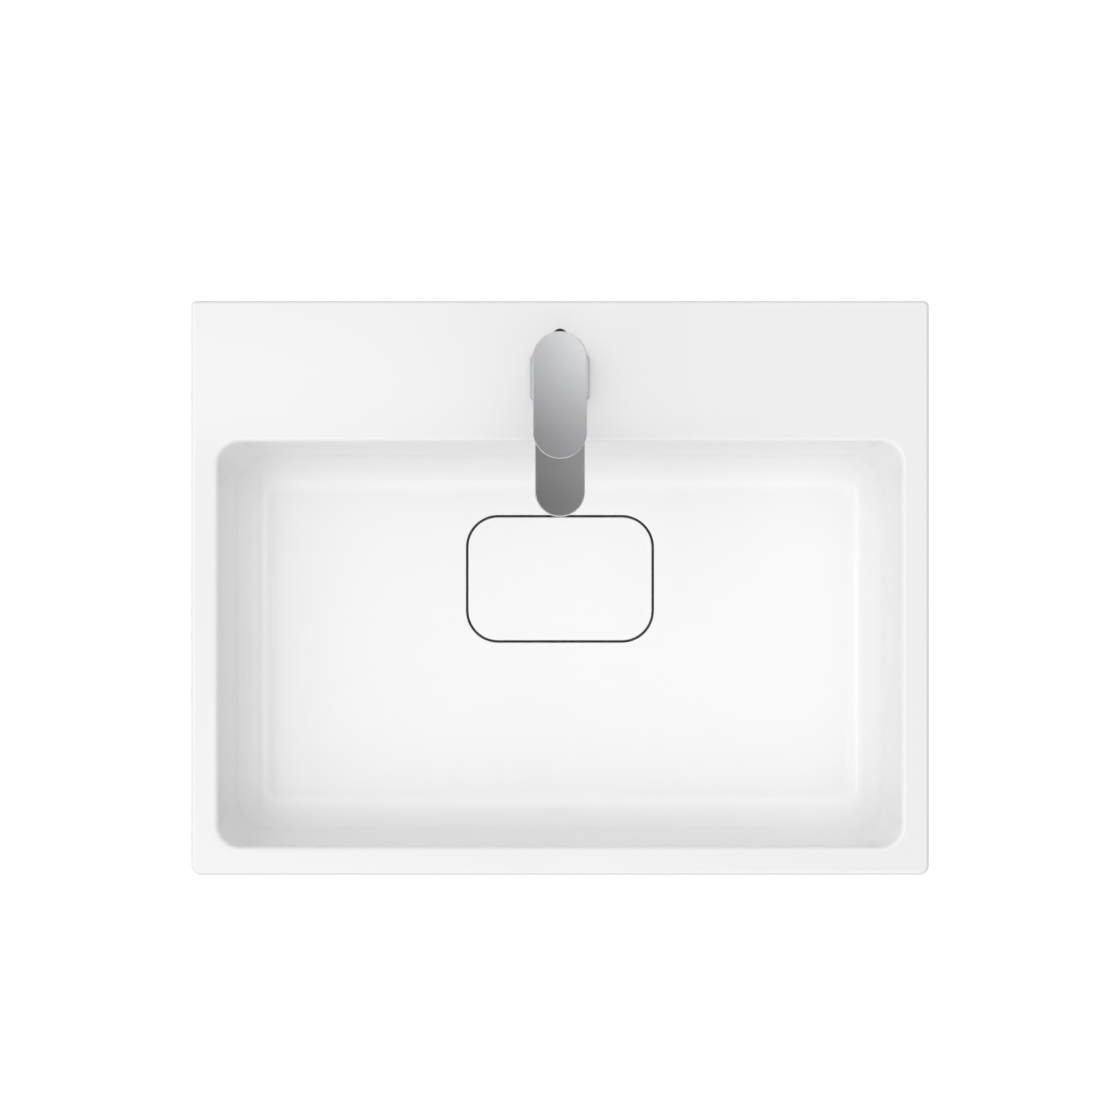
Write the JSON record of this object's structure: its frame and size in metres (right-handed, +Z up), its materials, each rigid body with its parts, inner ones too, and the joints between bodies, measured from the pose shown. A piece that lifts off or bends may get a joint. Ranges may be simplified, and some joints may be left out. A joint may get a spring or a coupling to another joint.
{
  "type": "washbasin",
  "caption": "Wall-hung rectangular ceramic washbasin with a rear tap deck, a flush lift-out drain cover over an open waste, and a chrome lever mixer that swivels and lifts.",
  "frame": {"origin": "midway between the two wall bolt holes, on the basin's back face", "axes": "+X to the right as the user faces the basin, +Y into the wall, +Z up"},
  "size_m": [0.6, 0.467, 0.316],
  "materials": {
    "glazed_ceramic": "white glaze, smooth and glossy",
    "chrome": "bright polished chrome",
    "rubber": "black rubber, matt",
    "brass": "bare machined brass",
    "black_plastic": "black moulded plastic",
    "white_plastic": "white moulded plastic",
    "steel": "machined stainless steel",
    "disc_ceramic": "ground technical ceramic"
  },
  "bodies": {
    "basin": {"basin": "glazed_ceramic", "waste_grate": "chrome", "waste_flange_seal": "rubber", "waste_screw": "steel", "waste_tail_seal": "rubber", "waste_tail": "chrome", "base_gasket": "rubber", "base_plate": "chrome", "mixer_body": "chrome", "aerator_seal": "rubber", "aerator_insert": "white_plastic", "aerator_housing": "chrome", "port_seals": "rubber", "cartridge_housing": "white_plastic", "fixed_disc": "disc_ceramic", "cartridge_cap": "white_plastic", "retaining_nut": "brass", "mounting_stud": "steel", "clamp_gasket": "rubber", "clamp_plate": "steel", "stud_nut": "brass"},
    "cover": {"drain_cover": "glazed_ceramic", "cover_pads": "rubber"},
    "swivel": {"rotor": "white_plastic", "pivot_pin": "steel", "swivel_cap": "chrome"},
    "lever": {"lever": "chrome", "spindle": "brass", "lever_screw": "steel", "lever_plug": "black_plastic"},
    "disc": {"moving_disc": "disc_ceramic", "disc_carrier": "white_plastic"}
  },
  "joints": [
    {"name": "cover_lift", "type": "slide", "parent": "basin", "child": "cover", "axis": [0, 0, 1], "range_m": [0, 0.12]},
    {"name": "lever_swivel", "type": "hinge", "parent": "basin", "child": "swivel", "pos_m": [0, -0.063, 0.148], "axis": [0, 0, 1], "range_deg": [-45, 45]},
    {"name": "lever_lift", "type": "hinge", "parent": "swivel", "child": "lever", "pos_m": [0, -0.063, 0.148], "axis": [-1, 0, 0], "range_deg": [0, 25]},
    {"name": "disc_slide", "type": "slide", "parent": "swivel", "child": "disc", "axis": [0, -1, 0], "range_m": [0, 0.0043]}
  ],
  "couplings": [
    {"joint": "disc_slide", "follows": "lever_lift", "m_per_rad": 0.009686}
  ]
}
